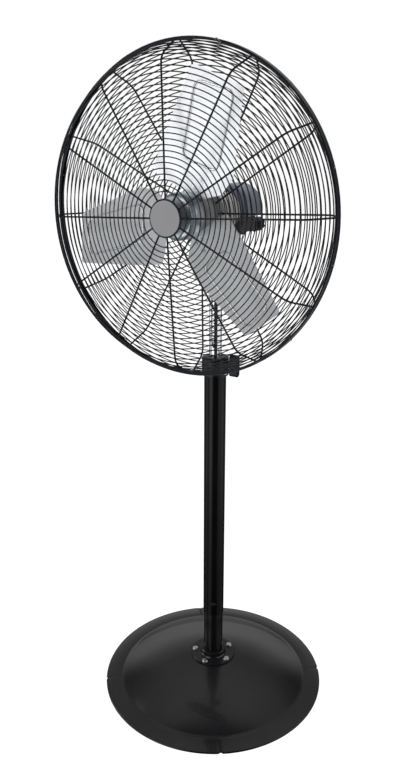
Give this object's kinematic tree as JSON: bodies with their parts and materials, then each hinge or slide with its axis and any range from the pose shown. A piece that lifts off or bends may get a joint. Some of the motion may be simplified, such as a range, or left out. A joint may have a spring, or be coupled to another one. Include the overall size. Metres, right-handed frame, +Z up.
{
  "type": "oscillating pedestal fan",
  "caption": "Pedestal fan with a spoked wire cage, pressed sheet metal blades and a grey motor, on a telescoping pole with a domed round base.",
  "frame": {"origin": "centre of the base on the floor, on the pole's axis", "axes": "+Z up along the pole, the fan blows toward -Y, +X is the height knob's side"},
  "size_m": [0.812, 0.6773, 1.858],
  "materials": {
    "base_paint": "glossy black enamel with a fine orange peel",
    "pole_gloss": "smooth glossy black paint",
    "pole_paint": "satin black paint",
    "bright_steel": "zinc plated, slightly dull",
    "black_steel": "blackened steel",
    "black_plastic": "moulded, fine texture",
    "tube_chrome": "polished chrome plate",
    "nylon": "natural nylon",
    "casting_paint": "dark painted casting",
    "motor_paint": "warm grey paint",
    "hood_paint": "dark slate satin paint",
    "lamination": "stacked steel sheet",
    "copper": "enamelled copper wire",
    "wire_paint": "glossy black powder coat",
    "band_paint": "glossy black powder coat",
    "badge_grey": "plain satin grey",
    "spinner_chrome": "polished",
    "blade_metal": "matt rolled sheet"
  },
  "bodies": {
    "root": {"base_plate": "base_paint", "base_flange": "base_paint", "weld_collar": "base_paint", "socket_tube": "pole_gloss", "flange_bolts": "bright_steel", "flange_nuts": "bright_steel", "outer_pole": "pole_paint", "pole_bolt": "black_steel", "pole_nut": "bright_steel", "pole_collar": "black_plastic"},
    "height_knob": {"height_screw": "bright_steel", "height_knob": "black_plastic"},
    "mast": {"inner_tube": "tube_chrome", "slide_foot": "nylon", "tilt_bracket": "casting_paint", "tilt_bolt": "bright_steel"},
    "tilt_knob": {"tilt_knob": "black_plastic"},
    "neck": {"neck": "casting_paint", "thrust_washer": "nylon"},
    "link": {"link_arm": "bright_steel"},
    "head": {"gearbox_foot": "casting_paint", "motor_shell": "motor_paint", "stator": "lamination", "windings": "copper", "front_bearing": "bright_steel", "rear_bell": "motor_paint", "rear_bearing": "bright_steel", "motor_hood": "hood_paint", "capacitor": "black_plastic", "pull_switch": "black_plastic", "cable_gland": "black_plastic", "front_guard": "wire_paint", "rear_guard": "wire_paint", "guard_ring": "wire_paint", "guard_screws": "bright_steel", "rim_band": "band_paint", "rim_screws": "bright_steel", "badge_plate": "wire_paint", "badge": "badge_grey"},
    "pull_chain": {"pull_chain": "black_steel"},
    "clutch": {"clutch_shaft": "bright_steel", "clutch_knob": "black_plastic"},
    "crank": {"worm_wheel": "nylon", "crank": "black_steel"},
    "rotor": {"shaft": "bright_steel", "rotor_core": "lamination", "worm": "bright_steel", "shaft_collar": "bright_steel", "hub": "bright_steel", "spinner": "spinner_chrome", "blade_a": "blade_metal", "blade_b": "blade_metal", "blade_c": "blade_metal", "rivets": "bright_steel"}
  },
  "joints": [
    {"name": "height", "type": "slide", "parent": "root", "child": "mast", "axis": [0, 0, 1], "range_m": [-0.235, 0.2]},
    {"name": "height_knob_turn", "type": "hinge", "parent": "root", "child": "height_knob", "pos_m": [0.06, 0, 1.037], "axis": [1, 0, 0], "range_deg": [0, 270]},
    {"name": "tilt", "type": "hinge", "parent": "mast", "child": "neck", "pos_m": [0, 0, 1.352], "axis": [1, 0, 0], "range_deg": [-25, 5]},
    {"name": "tilt_knob_turn", "type": "hinge", "parent": "mast", "child": "tilt_knob", "pos_m": [0.03, 0, 1.352], "axis": [1, 0, 0], "range_deg": [0, 270]},
    {"name": "oscillation", "type": "hinge", "parent": "neck", "child": "head", "pos_m": [0, 0, 1.385], "axis": [0, 0, 1], "range_deg": [-40, 40]},
    {"name": "link_swing", "type": "hinge", "parent": "neck", "child": "link", "pos_m": [-0.036, 0, 1.376], "axis": [0, 0, 1], "range_deg": [-8, 8]},
    {"name": "spin", "type": "hinge", "parent": "head", "child": "rotor", "pos_m": [0, -0.15, 1.452], "axis": [0, 1, 0], "continuous": true},
    {"name": "crank_turn", "type": "hinge", "parent": "head", "child": "crank", "pos_m": [-0.026, 0.096, 1.39], "axis": [0, 0, 1], "continuous": true},
    {"name": "chain_pull", "type": "slide", "parent": "head", "child": "pull_chain", "axis": [0, 0, -1], "range_m": [0, 0.008], "stiffness_N_per_m": 150},
    {"name": "clutch_turn", "type": "hinge", "parent": "head", "child": "clutch", "pos_m": [0.028, 0.15, 1.406], "axis": [0, 1, 0], "range_deg": [0, 90]}
  ],
  "couplings": [
    {"joint": "crank_turn", "follows": "spin", "ratio": 0.02}
  ]
}
